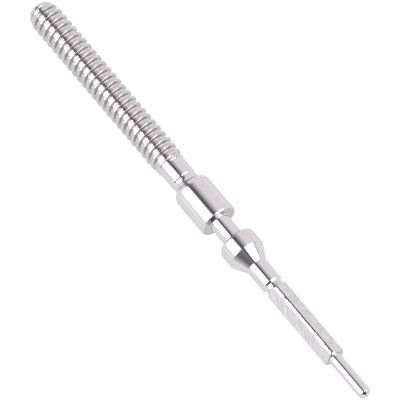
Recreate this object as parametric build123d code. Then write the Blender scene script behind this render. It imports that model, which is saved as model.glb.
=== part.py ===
from build123d import *
import math
import os

# The winding stem of a small watch movement: one piece of hardened steel, turned, threaded and milled.
# X runs along the axis, from the crown end to the pilot end, and Z is up.
# The origin is on the axis, in the middle of the bearing collar. Sizes are in millimetres.

# Crown thread, right hand, with a rounded first turn and a crest that fades out at its inner end
thread_diameter = 0.90
thread_pitch = 0.225
thread_depth = 0.126
thread_root_width = 0.03
thread_flank_angle = 60
thread_length = 5.68
thread_end_angle = 189
thread_start_diameter = 0.60
thread_start_length = 0.46
run_out_length = 0.39

# Plain neck, with a shallow relief that ends in a fillet at the bearing collar
neck_diameter = 0.77
neck_length = 0.85
relief_diameter = 0.73
relief_length = 0.36
relief_fillet_radius = 0.12

# Bearing collar, which turns in the main plate, with a long lead on its crown side
collar_diameter = 1.10
collar_length = 1.27
collar_lead_length = 0.105
collar_lead_depth = 0.045
collar_edge_break = 0.03

# Groove for the setting lever
lever_groove_diameter = 0.59
lever_groove_width = 0.76
lever_groove_corner_radius = 0.04

# Second collar, with a conical flank down to the pinion seat
second_collar_diameter = 1.10
second_collar_length = 0.50
second_collar_edge_length = 0.06
second_collar_edge_depth = 0.045
cone_length = 0.45

# Seat on which the winding pinion turns, with a bevelled end and an undercut behind it
pinion_seat_diameter = 0.62
pinion_seat_length = 0.73
pinion_seat_bevel = 0.05
undercut_diameter = 0.50
undercut_length = 0.11

# Square that drives the sliding pinion, milled from a round of the corner diameter, with one corner up
square_corner_angle = 45
square_corner_diameter = 0.63
square_across_flats = 0.51
square_length = 2.65
square_lead_length = 0.085
square_end_bevel_length = 0.038
square_end_bevel_depth = 0.026

# Pilot, which runs in the plate at the inner end
pilot_diameter = 0.37
pilot_length = 1.47
pilot_root_length = 0.22
pilot_root_rise = 0.022
pilot_bevel_length = 0.045
pilot_bevel_depth = 0.065
pilot_dome_height = 0.018

# Every cutter runs past the metal by this much
cut_overrun = 0.02

thread_radius = thread_diameter / 2
thread_start_radius = thread_start_diameter / 2
neck_radius = neck_diameter / 2
relief_radius = relief_diameter / 2
collar_radius = collar_diameter / 2
lever_groove_radius = lever_groove_diameter / 2
second_collar_radius = second_collar_diameter / 2
pinion_seat_radius = pinion_seat_diameter / 2
undercut_radius = undercut_diameter / 2
square_corner_radius = square_corner_diameter / 2
pilot_radius = pilot_diameter / 2

# Places along the axis where each stretch begins
collar_x = -collar_length / 2
neck_x = collar_x - neck_length
run_out_x = neck_x - run_out_length
crown_end_x = run_out_x - thread_length
lever_groove_x = collar_x + collar_length
second_collar_x = lever_groove_x + lever_groove_width
cone_x = second_collar_x + second_collar_length
pinion_seat_x = cone_x + cone_length
undercut_x = pinion_seat_x + pinion_seat_length
square_x = undercut_x + undercut_length
pilot_x = square_x + square_length
tip_x = pilot_x + pilot_length

axial = (1, 0)
back = (-1, 0)
inward = (0, -1)
outward = (0, 1)


def crown_side():
    """Outline from the axis at the crown end to the bearing collar's crown face."""
    start_end = (crown_end_x + thread_start_length, thread_radius)
    relief_bottom = (collar_x - relief_fillet_radius, relief_radius)
    relief_start = (collar_x - relief_length, neck_radius)
    fillet_end = (collar_x, relief_radius + relief_fillet_radius)
    Line((crown_end_x, 0), (crown_end_x, thread_start_radius))
    TangentArc(start_end, (crown_end_x, thread_start_radius), tangent=back)
    Polyline(start_end, (run_out_x, thread_radius), (neck_x, neck_radius), relief_start)
    TangentArc(relief_bottom, relief_start, tangent=back)
    TangentArc(relief_bottom, fillet_end, tangent=axial)
    return fillet_end


def collars(start):
    """Outline of the two collars, the lever groove between them and the cone."""
    groove_left = (lever_groove_x + lever_groove_corner_radius, lever_groove_radius)
    groove_right = (second_collar_x - lever_groove_corner_radius, lever_groove_radius)
    left_wall_foot = (lever_groove_x, lever_groove_radius + lever_groove_corner_radius)
    right_wall_foot = (second_collar_x, lever_groove_radius + lever_groove_corner_radius)
    Polyline(
        start,
        (collar_x, collar_radius - collar_lead_depth),
        (collar_x + collar_lead_length, collar_radius),
        (lever_groove_x - collar_edge_break, collar_radius),
        (lever_groove_x, collar_radius - collar_edge_break),
        left_wall_foot,
    )
    TangentArc(left_wall_foot, groove_left, tangent=inward)
    Line(groove_left, groove_right)
    TangentArc(groove_right, right_wall_foot, tangent=axial)
    Polyline(
        right_wall_foot,
        (second_collar_x, second_collar_radius - second_collar_edge_depth),
        (second_collar_x + second_collar_edge_length, second_collar_radius),
        (cone_x, second_collar_radius),
        (pinion_seat_x, pinion_seat_radius),
    )
    return (pinion_seat_x, pinion_seat_radius)


def inner_end(start):
    """Outline of the pinion seat, the round for the square and the pilot, back to the axis."""
    root_end = (pilot_x + pilot_root_length, pilot_radius)
    root_start = (pilot_x, pilot_radius + pilot_root_rise)
    bevel_end = (tip_x - pilot_dome_height, pilot_radius - pilot_bevel_depth)
    bevel_start = (tip_x - pilot_dome_height - pilot_bevel_length, pilot_radius)
    Polyline(
        start,
        (undercut_x - pinion_seat_bevel, pinion_seat_radius),
        (undercut_x, undercut_radius),
        (square_x, undercut_radius),
        (square_x + square_lead_length, square_corner_radius),
        (pilot_x - square_end_bevel_length, square_corner_radius),
        (pilot_x, square_corner_radius - square_end_bevel_depth),
        root_start,
    )
    TangentArc(root_end, root_start, tangent=back)
    Polyline(root_end, bevel_start, bevel_end)
    TangentArc((tip_x, 0), bevel_end, tangent=outward)
    Line((tip_x, 0), (crown_end_x, 0))


def turned_blank():
    """The stem as it leaves the lathe, before its thread and its square are cut."""
    with BuildPart() as blank:
        with BuildSketch():
            with BuildLine():
                inner_end(collars(crown_side()))
            make_face()
        revolve(axis=Axis.X)
    return blank.part


def groove_section():
    """Section of the thread groove in the XZ plane, on the Z axis."""
    flank_run = math.tan(math.radians(thread_flank_angle / 2))
    root_half = thread_root_width / 2
    mouth_half = root_half + (thread_depth + cut_overrun) * flank_run
    root_z = thread_radius - thread_depth
    mouth_z = thread_radius + cut_overrun
    outline = Polyline(
        (-mouth_half, mouth_z), (-root_half, root_z), (root_half, root_z), (mouth_half, mouth_z), close=True
    )
    return Plane.XZ * make_face(outline)


def thread_cutters():
    """One cutter for each full turn of the groove, and one that climbs out of the metal at the run-out."""
    turns = math.ceil(thread_length / thread_pitch) + 1
    climb = neck_radius - (thread_radius - thread_depth) + cut_overrun
    climb_angle = math.degrees(math.atan2(climb, run_out_length))
    along = (1, 0, 0)
    full_path = Helix(thread_pitch, thread_pitch, thread_radius, direction=along)
    climb_path = Helix(thread_pitch, run_out_length, thread_radius, direction=along, cone_angle=climb_angle)
    full_turn = sweep(groove_section(), path=full_path, is_frenet=True)
    last_turn = sweep(groove_section(), path=climb_path, is_frenet=True)
    clocking = Rot(thread_end_angle, 0, 0)
    cutters = [Pos(run_out_x - turn * thread_pitch, 0, 0) * clocking * full_turn for turn in range(1, turns + 1)]
    return cutters + [Pos(run_out_x, 0, 0) * clocking * last_turn]


def square_cutters():
    """Four blocks that mill the flats, from the middle of the undercut to past the square's end."""
    start_x = square_x - undercut_length / 2
    length = pilot_x + cut_overrun - start_x
    height = square_corner_radius - square_across_flats / 2 + cut_overrun
    block = Box(length, square_corner_diameter + cut_overrun, height)
    centre = (start_x + length / 2, 0, square_across_flats / 2 + height / 2)
    return [Rot(square_corner_angle + quarter * 90, 0, 0) * Pos(*centre) * block for quarter in range(4)]


winding_stem = turned_blank().cut(*thread_cutters()).cut(*square_cutters())

os.makedirs("parts", exist_ok=True)
export_step(winding_stem, "parts/winding_stem.step")
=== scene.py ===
import math

import bmesh
import bpy
from mathutils import Matrix, Vector, noise


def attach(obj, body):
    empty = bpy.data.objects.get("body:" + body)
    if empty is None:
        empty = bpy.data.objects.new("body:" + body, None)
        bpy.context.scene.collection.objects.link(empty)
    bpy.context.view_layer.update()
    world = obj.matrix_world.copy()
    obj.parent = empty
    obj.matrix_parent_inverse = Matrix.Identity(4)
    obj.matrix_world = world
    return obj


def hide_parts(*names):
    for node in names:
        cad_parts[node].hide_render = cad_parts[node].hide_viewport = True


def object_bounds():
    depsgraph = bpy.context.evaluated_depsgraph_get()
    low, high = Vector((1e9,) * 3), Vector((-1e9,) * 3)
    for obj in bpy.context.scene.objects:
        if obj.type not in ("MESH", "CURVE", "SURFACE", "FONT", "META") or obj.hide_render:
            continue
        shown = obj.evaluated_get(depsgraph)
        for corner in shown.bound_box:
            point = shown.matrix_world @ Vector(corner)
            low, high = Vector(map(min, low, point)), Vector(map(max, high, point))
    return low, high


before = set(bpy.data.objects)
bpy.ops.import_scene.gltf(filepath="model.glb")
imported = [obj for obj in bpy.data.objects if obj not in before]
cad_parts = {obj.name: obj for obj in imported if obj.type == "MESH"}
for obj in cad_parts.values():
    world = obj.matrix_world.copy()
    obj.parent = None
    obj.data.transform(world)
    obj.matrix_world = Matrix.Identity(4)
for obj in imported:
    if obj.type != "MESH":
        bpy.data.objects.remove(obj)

# A watch stem on a pale table: the turned, threaded and milled shaft, its steels, the lamps and the camera.
# Sizes are in millimetres, or in metres where a comment says so. X runs along the stem from its crown end.

cad_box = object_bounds()
MM = 0.001

# Crown thread. Its groove climbs out of the metal along the run-out, which ends in a small step at the neck.
CROWN_END = -7.555
RUN_OUT = -1.875
NECK = -1.485
THREAD_RADIUS = 0.45
THREAD_PITCH = 0.225
THREAD_DEPTH = 0.092
THREAD_SLOPE = math.radians(66)
THREAD_CREST_RADIUS = 0.025
THREAD_ROOT_RADIUS = 0.022
ROOT_HALF = 0.022
GROOVE_PHASE = 279
START_RADIUS = 0.30
START_LENGTH = 0.46
NECK_RADIUS = 0.385
CLIMB_OVERRUN = 0.02
CLIMB_POWER = 5
STEP_LENGTH = 0.035
STEP_RISE = 0.018

# The thread's form from the groove's middle outwards: a flat root, an arc, a straight flank and another arc
ROOT_ARC = THREAD_ROOT_RADIUS * math.sin(THREAD_SLOPE)
CREST_ARC = THREAD_CREST_RADIUS * math.sin(THREAD_SLOPE)
ROOT_RISE = THREAD_ROOT_RADIUS * (1 - math.cos(THREAD_SLOPE))
CREST_RISE = THREAD_CREST_RADIUS * (1 - math.cos(THREAD_SLOPE))
FLANK_RUN = (THREAD_DEPTH - ROOT_RISE - CREST_RISE) / math.tan(THREAD_SLOPE)
CREST_START = ROOT_HALF + ROOT_ARC + FLANK_RUN

# Neck, collars and lever groove
RELIEF = -0.965
RELIEF_STEP = 0.03
RELIEF_RADIUS = 0.365
RELIEF_ROUND = 0.008
RELIEF_CORNER = -0.722
RELIEF_FILLET = 0.145
LEAD_START = -0.6576
COLLAR = -0.635
COLLAR_RADIUS = 0.55
LEAD_LENGTH = 0.105
LEAD_DEPTH = 0.045
LEAD_ROUND = 0.02
EDGE_BREAK = 0.03
GROOVE = 0.635
GROOVE_RADIUS = 0.295
GROOVE_CORNER = 0.04
GROOVE_FILLET = 0.03
SECOND_COLLAR = 1.395
SECOND_EDGE_LENGTH = 0.06
SECOND_EDGE_DEPTH = 0.045
CONE = 1.895

# Pinion seat and undercut
SEAT = 2.345
SEAT_RADIUS = 0.31
SEAT_BEVEL = 0.05
UNDERCUT = 3.075
UNDERCUT_RADIUS = 0.25

# Drive square
SQUARE = 3.185
LAND_RADIUS = 0.315
FLAT_HALF = 0.255
SQUARE_LEAD = 0.085
SQUARE_BEVEL_LENGTH = 0.038
SQUARE_BEVEL_DEPTH = 0.026
CORNER_ANGLE = 43
QUARTERS = 4
QUARTER_TURN = 90

# Lands that the flats leave, formed up to these distances inside the square's ends. Their tilt and jitter are
# changes of the radius for each radian from a land's middle, as far as the reach, which is in degrees. The
# jitter is noise with this scale along X, and each land has its own place in it.
LAND_AFTER = 0.11
LAND_BEFORE = 0.06
LAND_TILT = 0.05
LAND_JITTER = 0.07
LAND_REACH = 15
JITTER_SCALE = 11
JITTER_APART = 7
JITTER_HEIGHT = 0.5

# Pilot, with a cone and a small flat at its tip
PILOT = 5.835
PILOT_RADIUS = 0.185
PILOT_ROOT_LENGTH = 0.109
PILOT_ROOT_RADIUS = 0.207
PILOT_ROOT_ROUND = 0.1
TIP = 7.305
TIP_CONE_LENGTH = 0.105
TIP_CONE_ROUND = 0.015
TIP_FLAT_RADIUS = 0.035
TIP_FLAT_ROUND = 0.02

# Edge break of most corners, and how finely the stem is divided
EDGE_ROUND = 0.006
ROUND_STEPS = 3
SOFT_ROUND_STEPS = 8
TURN_STEPS = 80
ROWS_PER_PITCH = 32
SQUARE_ROWS = 96

# Limits that tell the stem's points and faces apart, with the merging distance in metres
SAME_PLACE = 1e-4
AXIS_RADIUS = 0.01
MERGE_DISTANCE = 1e-9
MILL_OVERRUN = 0.01
TURNED_AWAY = -0.2
FLAT_CORNERS = 20
FLAT_LEAN = 0.1
FACED_FROM = 0.97
SHARP_ANGLE = math.radians(33)

# Thread flanks, which are rougher the more steeply they stand, and darkened by painted shade for the shade
# that falls in the thread's grooves
FLANK_FROM = math.sin(math.radians(35))
FLANK_FULL = math.sin(math.radians(52))
FLANK_PAINTED_SHADE = (0.89, 0.88, 0.87, 1)

# Tint of every steel's reflections where they graze it
SPECULAR_TINT = (0.85, 0.84, 0.86, 1)

# Tool marks, whose noise between these levels spreads a steel's roughness between these shares of it
MARKS_DETAIL = 3
MARKS_LOW = 0.2
MARKS_HIGH = 0.8
SMOOTHEST_SHARE = 0.8
ROUGHEST_SHARE = 1.2

# How the marks are turned: the lathe's lie square to the axis, and the mill's at a slant
DIAGONAL = 0.7071
LATHE = (0, 0, 0)
MILL = Matrix(((DIAGONAL, 0.5, 0.5), (DIAGONAL, -0.5, -0.5), (0, DIAGONAL, -DIAGONAL))).to_euler()

# The stem's four steels, in the order of its material slots. The marks have their scale per metre, and their
# height in metres.
TURNED, THREADED, MILLED, FACED = range(4)
STEELS = {
    "turned_steel": {
        "roughness": 0.1, "turn": LATHE, "scale": (30000, 900, 900), "mark_height": 3e-7,
        "dark": (0.615, 0.59, 0.61, 1), "light": (0.645, 0.62, 0.64, 1),
    },
    "thread_steel": {
        "roughness": 0.09, "turn": LATHE, "scale": (22000, 3000, 3000), "mark_height": 6e-7,
        "dark": (0.56, 0.535, 0.545, 1), "light": (0.62, 0.595, 0.605, 1), "flank_roughness": 0.2,
    },
    "milled_steel": {
        "roughness": 0.16, "turn": MILL, "scale": (13000, 2600, 6000), "mark_height": 4e-6,
        "dark": (0.42, 0.41, 0.415, 1), "light": (0.76, 0.74, 0.75, 1),
    },
    # The end faces' steel: rougher as a faced finish, and darker by painted shade for the shadowed table that
    # they mirror.
    "faced_steel_painted_shade": {
        "roughness": 0.2, "turn": LATHE, "scale": (9000, 9000, 9000), "mark_height": 1e-6,
        "dark": (0.48, 0.46, 0.475, 1), "light": (0.52, 0.50, 0.515, 1),
    },
}

# Table top, with half its width in metres
TABLE_HALF = 1.5
TABLE_COLOUR = (0.2, 0.2, 0.2, 1)
TABLE_ROUGHNESS = 0.9
TABLE_GLOW = 0.87
WHITE = (1, 1, 1, 1)

# Sky: a dark strip, whose middle in Y and half width change between two places in X, and patches. Each patch
# has its direction, the angles in degrees at which it is full and gone, and its level.
SKY_COLOUR = (1.09, 1.065, 1.1, 1)
STRIP_LEVEL = 0.06
STRIP_MIDDLE = (-0.95, -0.5, -0.09, 0.03)
STRIP_WIDTH = (-0.93, -0.5, 0.2, 0.53)
SKY_PATCHES = (
    ((0.60, -0.52, 0.60), 14, 36, 0.2),
    ((0.72, -0.66, 0.08), 15, 38, 0.25),
    ((1, 0, 0.02), 12, 30, 0.04),
    ((0.43, 0.80, 0.40), 12, 24, 0.7),
    ((-0.375, -0.925, 0.02), 4, 12, 1.25),
)

# Softboxes, with their distances and sizes in metres
SOFTBOXES = {
    "front_softbox": {
        "shape": "ELLIPSE", "towards": (-0.25, -0.595, 0.764), "distance": 0.15, "size": (0.184, 0.145),
        "radiance": 2.3, "colour": (1.0, 0.985, 0.955),
    },
    "back_softbox": {
        "shape": "RECTANGLE", "towards": (0.691, 0.479, 0.541), "distance": 0.16, "size": (0.156, 0.167),
        "radiance": 2.2, "colour": (1.0, 0.985, 0.965),
    },
}

# Camera, placed by how the stem lies in a picture of 400 by 400 pixels: its direction, and how far right and
# down of the middle its origin lies, less half a pixel along the stem. The tilt is the sine of the stem's
# angle to the picture, the face is how far the view turns about the stem from straight above towards -Y, and
# the clipping distances are in metres.
PICTURE_PIXELS = 400
PIXELS_PER_MM = 36.89
STEM_RIGHT = 0.6468
STEM_DOWN = 0.7627
ORIGIN_RIGHT = 5.3
ORIGIN_DOWN = 5.4
HALF_PIXEL = 0.5
CAMERA_TILT = 0.375
CAMERA_FACE = math.radians(5)
LENS = 1600
SENSOR = 36
CLIP_START = 0.001
CLIP_END = 10


def add_object(name, data):
    """A new object in the scene, which holds this data."""
    holder = bpy.data.objects.new(name, data)
    bpy.context.scene.collection.objects.link(holder)
    return holder


def mesh_object(name, bm):
    """A new object in the scene, which takes over this bmesh."""
    mesh = bpy.data.meshes.new(name)
    bm.to_mesh(mesh)
    bm.free()
    return add_object(name, mesh)


def aim(holder, place, right, up, back):
    """Puts a lamp or the camera at a place in metres, with its own axes along these directions."""
    turn = Matrix((right, up, back)).transposed().to_4x4()
    holder.matrix_world = Matrix.Translation(place) @ turn


def groove_height(distance):
    """Height of the thread's form above its root, at this distance from the groove's middle."""
    if distance <= ROOT_HALF:
        return 0
    if distance <= ROOT_HALF + ROOT_ARC:
        return THREAD_ROOT_RADIUS - math.sqrt(THREAD_ROOT_RADIUS ** 2 - (distance - ROOT_HALF) ** 2)
    if distance <= CREST_START:
        return ROOT_RISE + (distance - ROOT_HALF - ROOT_ARC) * math.tan(THREAD_SLOPE)
    left = CREST_START + CREST_ARC - distance
    if left > 0:
        return THREAD_DEPTH - THREAD_CREST_RADIUS + math.sqrt(THREAD_CREST_RADIUS ** 2 - left ** 2)
    return THREAD_DEPTH


def thread_envelope(x):
    """Radius that the crests stay under.

    It is rounded at the crown end and falls as a cone along the run-out, which ends in a small step.
    """
    start = CROWN_END + START_LENGTH
    if x < start:
        rise = THREAD_RADIUS - START_RADIUS
        bend = (START_LENGTH ** 2 + rise ** 2) / (2 * rise)
        return THREAD_RADIUS - bend + math.sqrt(bend ** 2 - (start - x) ** 2)
    if x > NECK - STEP_LENGTH:
        return NECK_RADIUS + STEP_RISE * (NECK - x) / STEP_LENGTH
    if x > RUN_OUT:
        fall = THREAD_RADIUS - NECK_RADIUS - STEP_RISE
        return THREAD_RADIUS - fall * (x - RUN_OUT) / (NECK - STEP_LENGTH - RUN_OUT)
    return THREAD_RADIUS


def thread_surface(x, angle):
    """Radius of the threaded stretch at this place along the axis and this angle in degrees from Y to Z."""
    radius = thread_envelope(x)
    root = THREAD_RADIUS - THREAD_DEPTH
    climb = NECK_RADIUS - root + CLIMB_OVERRUN
    first = RUN_OUT + THREAD_PITCH * (angle - GROOVE_PHASE) / 360
    turn = math.floor((x - first) / THREAD_PITCH)
    for centre in (first + turn * THREAD_PITCH, first + (turn + 1) * THREAD_PITCH):
        lift = (max(0.0, centre - RUN_OUT) / (NECK - RUN_OUT)) ** CLIMB_POWER * climb
        radius = min(radius, root + lift + groove_height(abs(x - centre)))
    return radius


def lathe_corners():
    """The outline's corners: place along the axis, radius, and how far back from it the rounding starts."""
    return [
        (CROWN_END, 0, 0),
        (CROWN_END, START_RADIUS, 0),
        (NECK, NECK_RADIUS, 0),
        (RELIEF, NECK_RADIUS, RELIEF_ROUND),
        (RELIEF + RELIEF_STEP, RELIEF_RADIUS, RELIEF_ROUND),
        (RELIEF_CORNER, RELIEF_RADIUS, RELIEF_FILLET),
        (LEAD_START, COLLAR_RADIUS - LEAD_DEPTH, EDGE_ROUND),
        (COLLAR + LEAD_LENGTH, COLLAR_RADIUS, LEAD_ROUND),
        (GROOVE - EDGE_BREAK, COLLAR_RADIUS, EDGE_ROUND),
        (GROOVE, COLLAR_RADIUS - EDGE_BREAK, EDGE_ROUND),
        (GROOVE, GROOVE_RADIUS, GROOVE_FILLET),
        (SECOND_COLLAR, GROOVE_RADIUS, GROOVE_CORNER),
        (SECOND_COLLAR, COLLAR_RADIUS - SECOND_EDGE_DEPTH, EDGE_ROUND),
        (SECOND_COLLAR + SECOND_EDGE_LENGTH, COLLAR_RADIUS, EDGE_ROUND),
        (CONE, COLLAR_RADIUS, EDGE_ROUND),
        (SEAT, SEAT_RADIUS, EDGE_ROUND),
        (UNDERCUT - SEAT_BEVEL, SEAT_RADIUS, EDGE_ROUND),
        (UNDERCUT, UNDERCUT_RADIUS, EDGE_ROUND),
        (SQUARE, UNDERCUT_RADIUS, EDGE_ROUND),
        (SQUARE + SQUARE_LEAD, LAND_RADIUS, EDGE_ROUND),
        (PILOT - SQUARE_BEVEL_LENGTH, LAND_RADIUS, EDGE_ROUND),
        (PILOT, LAND_RADIUS - SQUARE_BEVEL_DEPTH, EDGE_ROUND),
        (PILOT, PILOT_ROOT_RADIUS, EDGE_ROUND),
        (PILOT + PILOT_ROOT_LENGTH, PILOT_RADIUS, PILOT_ROOT_ROUND),
        (TIP - TIP_CONE_LENGTH, PILOT_RADIUS, TIP_CONE_ROUND),
        (TIP, TIP_FLAT_RADIUS, TIP_FLAT_ROUND),
        (TIP, 0, 0),
    ]


def longest_edge(bm, start, end):
    """The longest edge of the outline between two places along the axis."""
    low = start - SAME_PLACE
    high = end + SAME_PLACE
    inside = [e for e in bm.edges if all(low < v.co.x / MM < high for v in e.verts)]
    return max(inside, key=lambda e: e.calc_length())


def lathe_outline(bm):
    """Draws the outline as a chain of edges, and rounds its corners.

    The thread's and the square's long edges are divided, because they get a cut form.
    """
    corners = lathe_corners()
    verts = [bm.verts.new((x * MM, radius * MM, 0)) for x, radius, _ in corners]
    for pair in zip(verts, verts[1:]):
        bm.edges.new(pair)
    for vert, (_, _, back) in zip(verts, corners):
        if back:
            steps = SOFT_ROUND_STEPS if back > GROOVE_CORNER else ROUND_STEPS
            bmesh.ops.bevel(bm, geom=[vert], offset=back * MM, offset_type="OFFSET", affect="VERTICES",
                            segments=steps, profile=0.5, material=-1)
    thread_rows = round((NECK - CROWN_END) / THREAD_PITCH * ROWS_PER_PITCH)
    for start, end, rows in ((CROWN_END, NECK, thread_rows), (SQUARE, PILOT, SQUARE_ROWS)):
        bmesh.ops.subdivide_edges(bm, edges=[longest_edge(bm, start, end)], cuts=rows - 1)


def around_axis(vert):
    """A point's angle in degrees from Y to Z, and its distance from the stem's axis."""
    return math.degrees(math.atan2(vert.co.z, vert.co.y)), math.hypot(vert.co.y, vert.co.z) / MM


def scale_from_axis(vert, factor):
    """Moves a point straight away from the stem's axis, or towards it."""
    vert.co.y *= factor
    vert.co.z *= factor


def cut_thread(bm):
    """Moves the threaded stretch's points in or out to the thread's surface."""
    for v in bm.verts:
        x = v.co.x / MM
        angle, radius = around_axis(v)
        if x < NECK - SAME_PLACE and radius > AXIS_RADIUS:
            scale_from_axis(v, thread_surface(x, angle) / radius)


def form_lands(bm):
    """Tilts the four lands between the flats, and leaves them a little uneven, as the cutter does."""
    for v in bm.verts:
        x = v.co.x / MM
        if SQUARE + LAND_AFTER < x < PILOT - LAND_BEFORE:
            angle, radius = around_axis(v)
            quarter = round(angle / QUARTER_TURN) % QUARTERS
            offset = (angle + QUARTER_TURN / 2) % QUARTER_TURN - QUARTER_TURN / 2
            wave = noise.noise(Vector((x * JITTER_SCALE, quarter * JITTER_APART, JITTER_HEIGHT)))
            lean = math.radians(max(-LAND_REACH, min(LAND_REACH, offset)))
            wanted = LAND_RADIUS - LAND_TILT * lean - LAND_JITTER * wave * max(0.0, lean)
            scale_from_axis(v, wanted / radius)


def mill_square(bm):
    """Mills four flats between the undercut and the pilot, and closes each with one face."""
    low = (UNDERCUT + SQUARE) / 2 * MM
    high = (PILOT + MILL_OVERRUN) * MM
    for quarter in range(QUARTERS):
        turn = math.radians(CORNER_ANGLE + quarter * QUARTER_TURN)
        normal = Vector((0, math.cos(turn), math.sin(turn)))
        faces = [f for f in bm.faces
                 if low < f.calc_center_median().x < high and f.normal.dot(normal) > TURNED_AWAY]
        metal = dict.fromkeys(part for f in faces for part in (f, *f.edges, *f.verts))
        cut = bmesh.ops.bisect_plane(bm, geom=list(metal), dist=MERGE_DISTANCE,
                                     plane_co=normal * FLAT_HALF * MM, plane_no=normal, clear_outer=True)
        rim = [g for g in cut["geom_cut"] if isinstance(g, bmesh.types.BMEdge) and g.is_boundary]
        made = bmesh.ops.contextual_create(bm, geom=rim, mat_nr=0, use_smooth=True)
        for f in made["faces"]:
            f.normal_update()
            if f.normal.dot(normal) < 0:
                f.normal_flip()


def mark_flanks(bm):
    """Stores for each point of the thread how much of a flank it is, from 0 to 1."""
    flank = bm.verts.layers.float.new("flank")
    for v in bm.verts:
        if v.co.x < NECK * MM:
            v[flank] = min(1.0, max(0.0, (abs(v.normal.x) - FLANK_FROM) / (FLANK_FULL - FLANK_FROM)))


def finish_of(face):
    """The material slot of the steel that a face shows. Only the milled flats have many corners."""
    x = face.calc_center_median().x / MM
    facing = abs(face.normal.x)
    if x < NECK:
        return THREADED
    if len(face.verts) > FLAT_CORNERS and SQUARE < x < PILOT and facing < FLAT_LEAN:
        return MILLED
    # End faces take the steel whose darker colour is painted shade.
    if facing > FACED_FROM:
        return FACED
    return TURNED


def winding_stem():
    """The whole stem as one closed mesh, with its finishes."""
    bm = bmesh.new()
    lathe_outline(bm)
    bmesh.ops.spin(bm, geom=bm.verts[:] + bm.edges[:], cent=(0, 0, 0), axis=(1, 0, 0), dvec=(0, 0, 0),
                   angle=2 * math.pi, steps=TURN_STEPS, use_merge=True, use_duplicate=False)
    bmesh.ops.remove_doubles(bm, verts=bm.verts[:], dist=MERGE_DISTANCE)
    bmesh.ops.recalc_face_normals(bm, faces=bm.faces[:])
    cut_thread(bm)
    form_lands(bm)
    bm.normal_update()
    mill_square(bm)
    bm.normal_update()
    mark_flanks(bm)
    for f in bm.faces:
        f.smooth = True
        f.material_index = finish_of(f)
    for e in bm.edges:
        milled = any(f.material_index == MILLED for f in e.link_faces)
        e.smooth = not milled and e.calc_face_angle(0) < SHARP_ANGLE
    piece = mesh_object("winding_stem_steel", bm)
    for name, look in STEELS.items():
        piece.data.materials.append(steel(name, **look))
    smoothing = piece.modifiers.new("even_normals", "WEIGHTED_NORMAL")
    smoothing.keep_sharp = True
    return piece


def new_material(name):
    """A new material, with its node tree and its shader."""
    material = bpy.data.materials.new(name)
    material.use_nodes = True
    tree = material.node_tree
    return material, tree, tree.nodes["Principled BSDF"]


def feed(tree, socket, value):
    """Links an input to another node's output, or sets it to a plain value."""
    if isinstance(value, bpy.types.NodeSocket):
        tree.links.new(value, socket)
    else:
        socket.default_value = value


def math_node(tree, operation, first, second=0):
    """One arithmetic node, whose inputs are sockets or numbers."""
    node = tree.nodes.new("ShaderNodeMath")
    node.operation = operation
    for socket, value in zip(node.inputs, (first, second)):
        feed(tree, socket, value)
    return node.outputs[0]


def ramp_node(tree, value, low, high, out_low, out_high):
    """A straight ramp between two levels, clamped at both ends."""
    node = tree.nodes.new("ShaderNodeMapRange")
    levels = {"Value": value, "From Min": low, "From Max": high, "To Min": out_low, "To Max": out_high}
    for name, level in levels.items():
        feed(tree, node.inputs[name], level)
    return node.outputs["Result"]


def colour_mix(tree, blend, factor, first, second):
    """A blend of two colours, whose inputs are sockets or plain values."""
    node = tree.nodes.new("ShaderNodeMix")
    node.data_type = "RGBA"
    node.blend_type = blend
    for name, value in {"Factor": factor, "A": first, "B": second}.items():
        feed(tree, node.inputs[name], value)
    return node.outputs["Result"]


def mapping(tree, vector, name, value):
    """A Mapping node with one of its inputs set."""
    node = tree.nodes.new("ShaderNodeMapping")
    node.inputs[name].default_value = value
    tree.links.new(vector, node.inputs["Vector"])
    return node.outputs["Vector"]


def stretched_noise(tree, turn, scale):
    """Noise in the stem's own coordinates, turned by the angles and then drawn out by the scales."""
    where = tree.nodes.new("ShaderNodeTexCoord")
    turned = mapping(tree, where.outputs["Object"], "Rotation", turn)
    stretched = mapping(tree, turned, "Scale", scale)
    texture = tree.nodes.new("ShaderNodeTexNoise")
    texture.inputs["Scale"].default_value = 1
    texture.inputs["Detail"].default_value = MARKS_DETAIL
    tree.links.new(stretched, texture.inputs["Vector"])
    return texture.outputs["Fac"]


def steel(name, roughness, turn, scale, mark_height, dark, light, flank_roughness=None):
    """Bright steel whose tool marks follow the stretched noise, between a darker and a lighter colour.

    Where a roughness is given for the flanks, they get it, and a painted shade darkens them for the shade in
    the thread's grooves.
    """
    material, tree, shader = new_material(name)
    shader.inputs["Metallic"].default_value = 1
    shader.inputs["Specular Tint"].default_value = SPECULAR_TINT
    marks = stretched_noise(tree, turn, scale)
    bump = tree.nodes.new("ShaderNodeBump")
    bump.inputs["Strength"].default_value = 1
    bump.inputs["Distance"].default_value = mark_height
    tree.links.new(marks, bump.inputs["Height"])
    tree.links.new(bump.outputs["Normal"], shader.inputs["Normal"])
    smoothest = roughness * SMOOTHEST_SHARE
    roughest = roughness * ROUGHEST_SHARE
    rough = ramp_node(tree, marks, MARKS_LOW, MARKS_HIGH, smoothest, roughest)
    colour = colour_mix(tree, "MIX", marks, dark, light)
    if flank_roughness:
        flank = tree.nodes.new("ShaderNodeAttribute")
        flank.attribute_name = "flank"
        extra = math_node(tree, "MULTIPLY", flank.outputs["Fac"], flank_roughness - roughness)
        rough = math_node(tree, "ADD", rough, extra)
        # Painted shade: the flanks' colour is darkened for the shade that falls in the thread's grooves.
        colour = colour_mix(tree, "MULTIPLY", flank.outputs["Fac"], colour, FLANK_PAINTED_SHADE)
    tree.links.new(rough, shader.inputs["Roughness"])
    tree.links.new(colour, shader.inputs["Base Color"])
    return material


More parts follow.
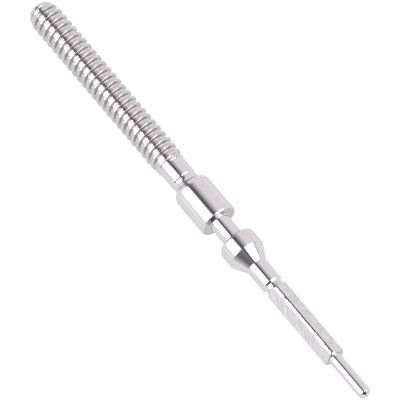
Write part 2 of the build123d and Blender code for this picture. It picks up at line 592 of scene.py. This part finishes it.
def floor_material():
    """Pale table top, which glows for the camera and in reflections and is lit a little on top of that."""
    material, tree, shader = new_material("pale_table")
    shader.inputs["Base Color"].default_value = TABLE_COLOUR
    shader.inputs["Roughness"].default_value = TABLE_ROUGHNESS
    shader.inputs["Specular IOR Level"].default_value = 0.0
    shader.inputs["Emission Color"].default_value = WHITE
    path = tree.nodes.new("ShaderNodeLightPath")
    seen = math_node(tree, "MAXIMUM", path.outputs["Is Camera Ray"], path.outputs["Is Glossy Ray"])
    also = math_node(tree, "MAXIMUM", seen, path.outputs["Is Transmission Ray"])
    level = math_node(tree, "MULTIPLY", also, TABLE_GLOW)
    tree.links.new(level, shader.inputs["Emission Strength"])
    return material


def table():
    """The table top, at the foot of the CAD's box."""
    bm = bmesh.new()
    bmesh.ops.create_grid(bm, x_segments=1, y_segments=1, size=TABLE_HALF)
    bmesh.ops.translate(bm, verts=bm.verts[:], vec=(0, 0, cad_box[0].z))
    piece = mesh_object("table_top", bm)
    piece.data.materials.append(floor_material())
    return piece


def dark_strip(tree):
    """A factor for the dark strip that runs along the stem overhead.

    At the crown side it bends towards -Y and grows narrower.
    """
    where = tree.nodes.new("ShaderNodeTexCoord")
    parts = tree.nodes.new("ShaderNodeSeparateXYZ")
    tree.links.new(where.outputs["Generated"], parts.inputs[0])
    middle = ramp_node(tree, parts.outputs["X"], *STRIP_MIDDLE)
    width = ramp_node(tree, parts.outputs["X"], *STRIP_WIDTH)
    side = math_node(tree, "SUBTRACT", parts.outputs["Y"], middle)
    far = math_node(tree, "ABSOLUTE", side)
    share = math_node(tree, "DIVIDE", far, width)
    return ramp_node(tree, share, 0, 1, STRIP_LEVEL, 1)


def sky_patch(tree, towards, full, gone, level):
    """A factor that has its level within an angle of a direction, and goes evenly to 1 at a wider angle."""
    where = tree.nodes.new("ShaderNodeTexCoord")
    dot = tree.nodes.new("ShaderNodeVectorMath")
    dot.operation = "DOT_PRODUCT"
    dot.inputs[1].default_value = Vector(towards).normalized()
    tree.links.new(where.outputs["Generated"], dot.inputs[0])
    arc = math_node(tree, "ARCCOSINE", dot.outputs["Value"])
    return ramp_node(tree, arc, math.radians(full), math.radians(gone), level, 1)


def studio_world():
    """A pale sky, with a dark strip and a few patches that the steel mirrors."""
    world = bpy.data.worlds.new("studio")
    world.use_nodes = True
    bpy.context.scene.world = world
    tree = world.node_tree
    background = tree.nodes["Background"]
    strength = dark_strip(tree)
    for patch in SKY_PATCHES:
        strength = math_node(tree, "MULTIPLY", strength, sky_patch(tree, *patch))
    background.inputs["Color"].default_value = SKY_COLOUR
    tree.links.new(strength, background.inputs["Strength"])


def softbox(name, shape, towards, distance, size, radiance, colour):
    """A flat lamp that faces the stem, is hidden from the camera, and has this radiance whatever its size."""
    lamp = bpy.data.lights.new(name, "AREA")
    lamp.shape = shape
    lamp.size, lamp.size_y = size
    fill = math.pi / 4 if shape == "ELLIPSE" else 1
    lamp.energy = radiance * size[0] * size[1] * fill * math.pi
    lamp.color = colour
    holder = add_object(name, lamp)
    holder.visible_camera = False
    back = Vector(towards).normalized()
    up = back.cross(Vector((1, 0, 0))).normalized()
    aim(holder, back * distance, up.cross(back), up, back)


def camera():
    """A long lens above the table, turned so that the stem runs down to the right, its pilot end nearer."""
    level = math.sqrt(1 - CAMERA_TILT ** 2)
    back = Vector((CAMERA_TILT, -math.sin(CAMERA_FACE) * level, math.cos(CAMERA_FACE) * level))
    axis = Vector((1, 0, 0))
    along = (axis - axis.dot(back) * back).normalized()
    across = axis.cross(Vector((0, -math.sin(CAMERA_FACE), math.cos(CAMERA_FACE))))
    right = STEM_RIGHT * along - STEM_DOWN * across
    up = -(STEM_DOWN * along + STEM_RIGHT * across)
    data = bpy.data.cameras.new("camera")
    data.lens = LENS
    data.sensor_width = SENSOR
    data.clip_start = CLIP_START
    data.clip_end = CLIP_END
    distance = LENS / SENSOR * PICTURE_PIXELS / PIXELS_PER_MM * MM
    origin = ORIGIN_RIGHT * right - ORIGIN_DOWN * up
    centre = (-origin + HALF_PIXEL * (STEM_RIGHT * right - STEM_DOWN * up)) / PIXELS_PER_MM * MM
    holder = add_object("camera", data)
    aim(holder, centre + back * distance, right, up, back)
    bpy.context.scene.camera = holder


camera()
studio_world()
for lamp_name, setting in SOFTBOXES.items():
    softbox(lamp_name, **setting)

stem = winding_stem()
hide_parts("winding_stem")
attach(stem, "root")

table_top = table()

bpy.context.scene.view_settings.view_transform = "Standard"
